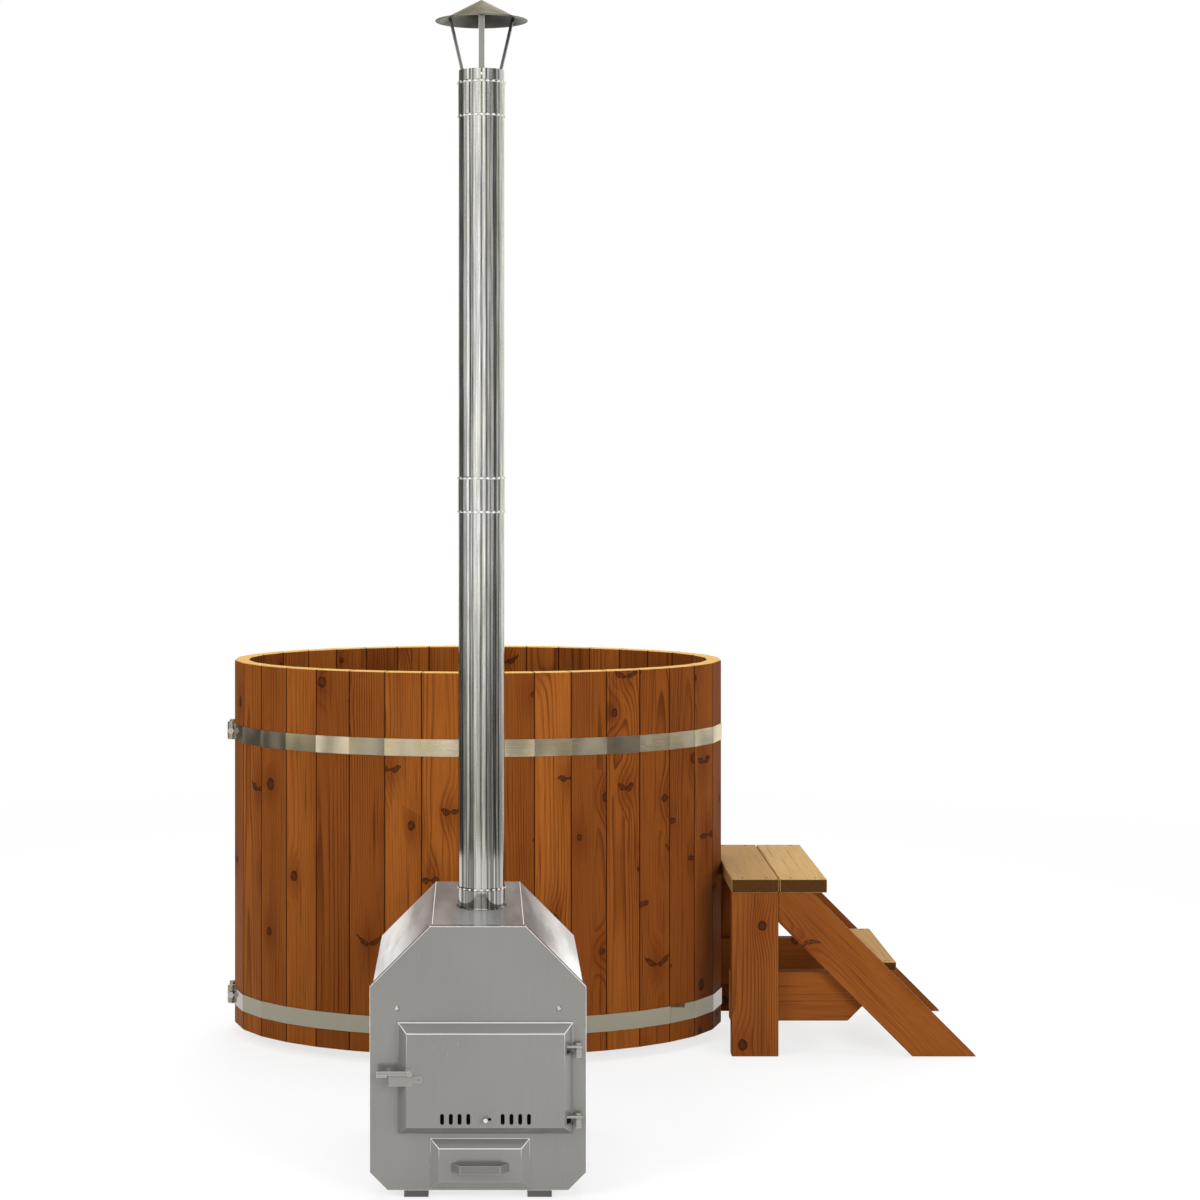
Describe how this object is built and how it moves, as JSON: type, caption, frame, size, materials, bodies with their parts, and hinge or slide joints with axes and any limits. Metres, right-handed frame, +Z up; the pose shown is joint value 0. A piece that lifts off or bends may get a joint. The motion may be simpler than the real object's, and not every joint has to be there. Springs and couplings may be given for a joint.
{
  "type": "wood-fired soaking tub",
  "caption": "Oval soaking tub of upright wooden staves in steel hoops, heated by an outside wood stove with a tall chimney, with bench, drain valve and entry steps.",
  "frame": {"origin": "middle of the tub, on the ground under its middle floor bearer", "axes": "+Z up, -Y towards the stove's door, +X towards the steps"},
  "size_m": [2.236, 2.468, 2.9207],
  "materials": {
    "tub_wood": "oiled",
    "floor_wood": "planed",
    "bench_wood": "planed",
    "hoop_steel": "polished",
    "lug_steel": "turned",
    "port_steel": "turned",
    "gasket_rubber": "matte",
    "hose_rubber": "satin",
    "clamp_steel": "bright",
    "drain_brass": "turned",
    "drain_chrome": "polished",
    "lever_paint": "gloss",
    "stove_steel": "brushed",
    "skid_steel": "mill",
    "fire_steel": "sooty",
    "grate_iron": "cast",
    "screw_steel": "bright",
    "door_steel": "brushed",
    "liner_steel": "heat tinted",
    "seal_rope": "woven",
    "hinge_steel": "bright",
    "damper_steel": "mill",
    "knob_steel": "polished",
    "latch_steel": "satin",
    "pull_steel": "satin",
    "flue_steel": "polished",
    "cap_steel": "polished",
    "step_wood": "planed",
    "step_top_wood": "planed"
  },
  "bodies": {
    "tub_and_stove": {"staves": "tub_wood", "port_stave": "tub_wood", "drain_stave": "tub_wood", "floor_boards": "floor_wood", "floor_bearers": "floor_wood", "bench_boards": "bench_wood", "bench_legs": "bench_wood", "bench_cleats": "bench_wood", "upper_hoop": "hoop_steel", "lower_hoop": "hoop_steel", "hoop_barrels": "lug_steel", "hoop_bolts": "lug_steel", "hoop_nuts": "lug_steel", "port_fittings": "port_steel", "port_locknuts": "port_steel", "stove_nipples": "port_steel", "port_gaskets": "gasket_rubber", "water_hoses": "hose_rubber", "hose_clamps": "clamp_steel", "drain_fitting": "drain_brass", "drain_nut": "drain_brass", "drain_valve": "drain_brass", "drain_tail": "drain_brass", "stove_shell": "stove_steel", "stove_front": "stove_steel", "stove_back": "stove_steel", "stove_skids": "skid_steel", "drawer_guides": "skid_steel", "firebox": "fire_steel", "water_jacket": "fire_steel", "fire_grate": "grate_iron", "panel_screws": "screw_steel", "hinge_barrels": "hinge_steel", "latch_keeper": "latch_steel", "flue_collar": "flue_steel", "lower_flue_pipe": "flue_steel", "upper_flue_pipe": "flue_steel", "cap_collar": "flue_steel", "cap_cone": "cap_steel", "cap_straps": "cap_steel", "step_posts": "step_wood", "step_stringers": "step_wood", "step_rails": "step_wood", "step_tread": "step_top_wood", "step_top_boards": "step_top_wood"},
    "door": {"door_pan": "door_steel", "door_liner": "liner_steel", "door_seal": "seal_rope", "door_lugs": "hinge_steel", "hinge_pins": "hinge_steel", "latch_plate": "latch_steel", "latch_bolt": "latch_steel"},
    "latch": {"latch_bar": "latch_steel"},
    "damper": {"air_damper": "damper_steel", "air_knob": "knob_steel"},
    "drawer": {"ash_front": "door_steel", "ash_tray": "liner_steel", "ash_pull": "pull_steel"},
    "valve": {"drain_ball": "drain_chrome", "drain_lever": "lever_paint"}
  },
  "joints": [
    {"name": "door_hinge", "type": "hinge", "parent": "tub_and_stove", "child": "door", "pos_m": [0.24, -1.784, 0.282], "axis": [0, 0, 1], "range_deg": [0, 120]},
    {"name": "latch_turn", "type": "hinge", "parent": "door", "child": "latch", "pos_m": [-0.165, -1.8083, 0.306], "axis": [0, 1, 0], "range_deg": [0, 75]},
    {"name": "damper_slide", "type": "slide", "parent": "door", "child": "damper", "axis": [1, 0, 0], "range_m": [0, 0.0105]},
    {"name": "drawer_slide", "type": "slide", "parent": "tub_and_stove", "child": "drawer", "axis": [0, -1, 0], "range_m": [0, 0.38]},
    {"name": "drain_lever_turn", "type": "hinge", "parent": "tub_and_stove", "child": "valve", "pos_m": [0, 0.565, 0.16], "axis": [0, 0, 1], "range_deg": [0, 90]}
  ]
}
